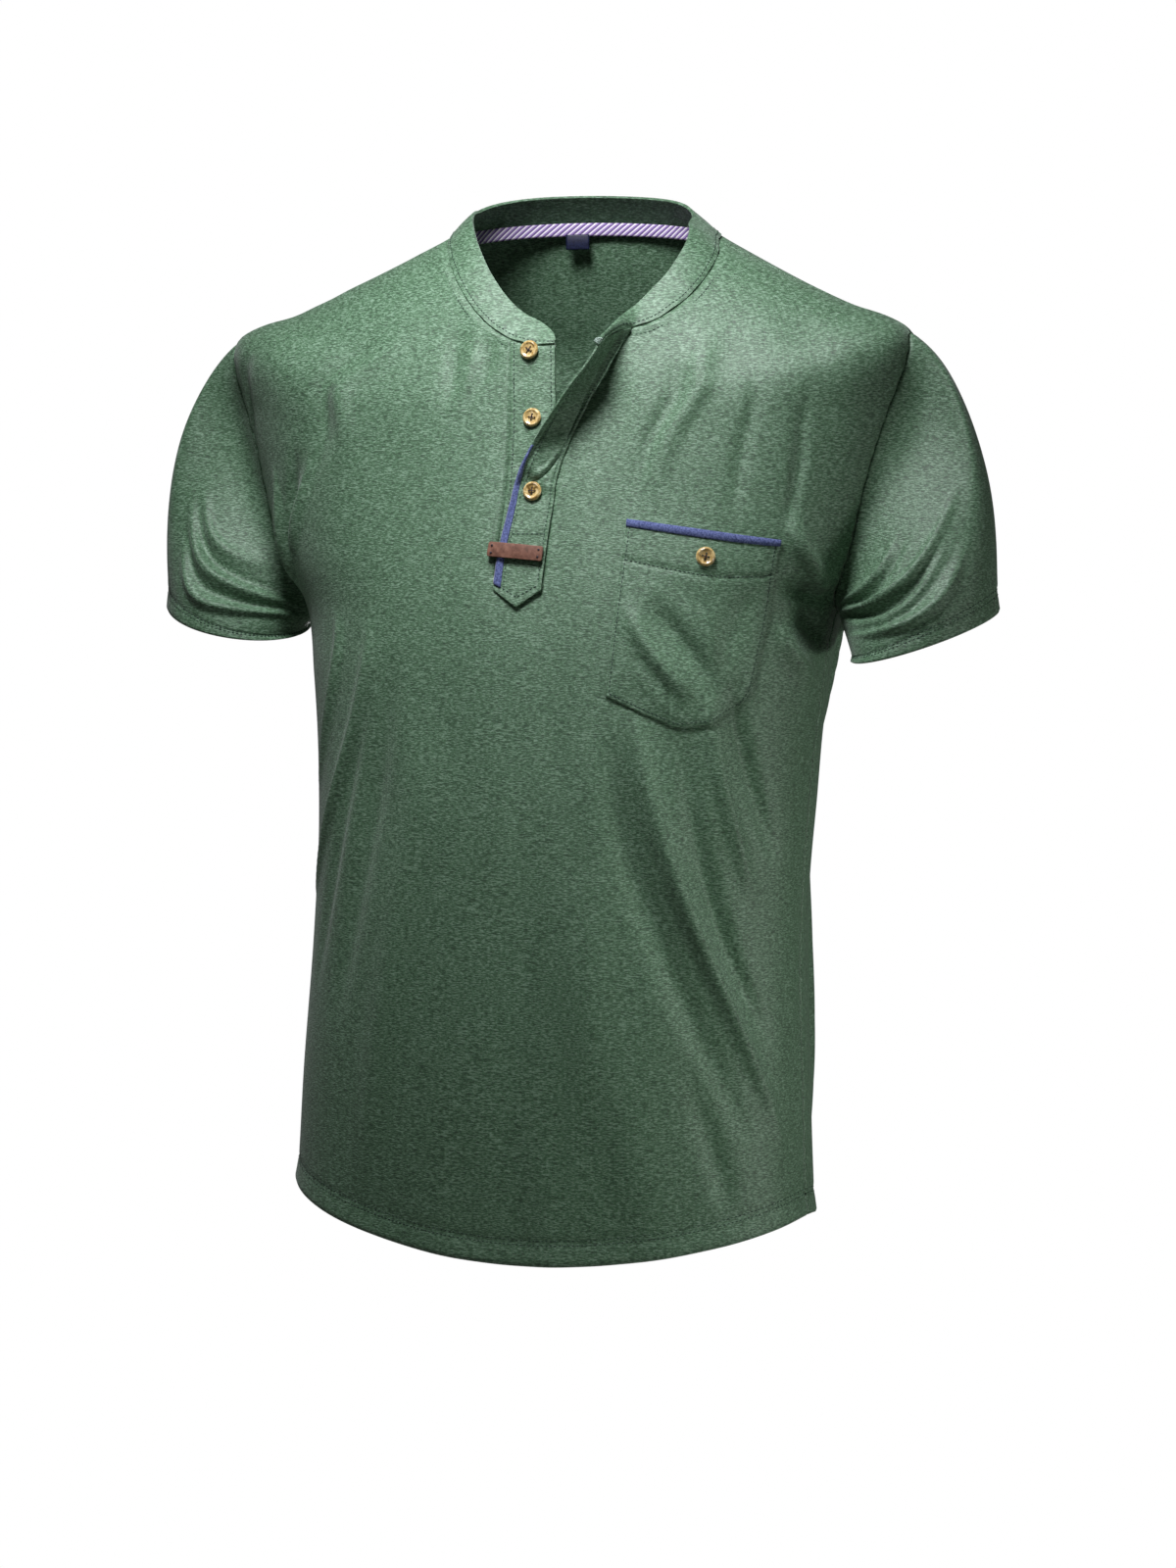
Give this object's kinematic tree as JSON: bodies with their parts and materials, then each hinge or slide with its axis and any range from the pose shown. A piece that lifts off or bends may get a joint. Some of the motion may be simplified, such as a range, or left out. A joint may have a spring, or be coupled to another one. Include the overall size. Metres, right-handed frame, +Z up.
{
  "type": "pocket t-shirt",
  "caption": "Short-sleeved knitted shirt with a buttoned neck opening, a low band collar and a chest pocket, worn shape, open at neck, cuffs and hem.",
  "frame": {"origin": "middle of the neck opening at the height of the shoulder's highest point, where the wearer's shoulders and neck carry the shirt", "axes": "+Z up along the standing wearer, the wearer faces -Y, +X is towards the wearer's left arm"},
  "size_m": [0.5954, 0.2523, 0.7256],
  "materials": {
    "heathered_jersey": "heathered grey-green cotton jersey, matt, fine knit with lighter and darker flecks",
    "blue_jersey": "blue cotton piping, matt, thin folded strip",
    "striped_tape": "woven neck tape with slanting lavender, white and dark stripes",
    "navy_satin": "folded navy satin size label, bare",
    "brown_leather": "brown leather with a fine grain and sewn edge",
    "horn_button": "golden horn-coloured moulded buttons, satin gloss"
  },
  "bodies": {
    "root": {"front": "heathered_jersey", "back": "heathered_jersey", "sleeve_right": "heathered_jersey", "sleeve_left": "heathered_jersey", "collar": "heathered_jersey", "button_stand": "heathered_jersey", "placket": "heathered_jersey", "pocket": "heathered_jersey", "placket_piping": "blue_jersey", "pocket_piping": "blue_jersey", "neck_tape": "striped_tape", "size_label": "navy_satin", "leather_tab": "brown_leather", "button_1": "horn_button", "button_2": "horn_button", "button_3": "horn_button", "pocket_button": "horn_button"}
  },
  "joints": []
}
